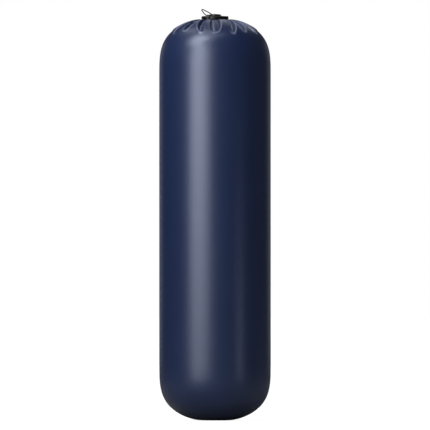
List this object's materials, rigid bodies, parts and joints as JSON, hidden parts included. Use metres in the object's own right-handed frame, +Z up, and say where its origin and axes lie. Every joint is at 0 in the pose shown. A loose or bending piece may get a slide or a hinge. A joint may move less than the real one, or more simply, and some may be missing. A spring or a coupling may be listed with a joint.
{
  "type": "pneumatic fender",
  "caption": "Tall inflatable boat fender: a round-ended cover of coated fabric, gathered in pleats round a capped air valve, over an air bladder.",
  "frame": {"origin": "middle of the flat foot, on the surface that the fender stands on", "axes": "+Z up the body's axis to the valve, -Y the front that the picture shows, +X to its right, with the cap's lug towards -X"},
  "size_m": [0.3, 0.3, 1.1065],
  "materials": {
    "cover_fabric": "navy coated fabric with a satin sheen and a fine weave",
    "bladder_film": "smooth grey film-coated fabric",
    "valve_plastic": "black moulded plastic, softly polished",
    "cap_plastic": "black moulded plastic, satin",
    "ring_plastic": "dark grey moulded plastic",
    "poppet_plastic": "off-white moulded plastic",
    "seal_rubber": "matt black rubber",
    "spring_steel": "bright stainless spring wire",
    "cord_polyester": "black braided polyester cord"
  },
  "bodies": {
    "fender": {"outer_cover": "cover_fabric", "bladder": "bladder_film", "valve_body": "valve_plastic", "valve_gasket": "seal_rubber", "slip_washer": "ring_plastic", "clamp_nut": "valve_plastic", "valve_spring": "spring_steel"},
    "poppet": {"poppet": "poppet_plastic", "poppet_seal": "seal_rubber", "stem_button": "poppet_plastic"},
    "cap": {"valve_cap": "cap_plastic", "cap_seal": "seal_rubber", "pull_cord": "cord_polyester"}
  },
  "joints": [
    {"name": "cap_pull", "type": "slide", "parent": "fender", "child": "cap", "axis": [0, 0, 1], "range_m": [0, 0.02]},
    {"name": "poppet_push", "type": "slide", "parent": "fender", "child": "poppet", "axis": [0, 0, -1], "range_m": [0, 0.005], "stiffness_N_per_m": 300, "springref_m": -0.01, "deforming": ["valve_spring"]}
  ]
}
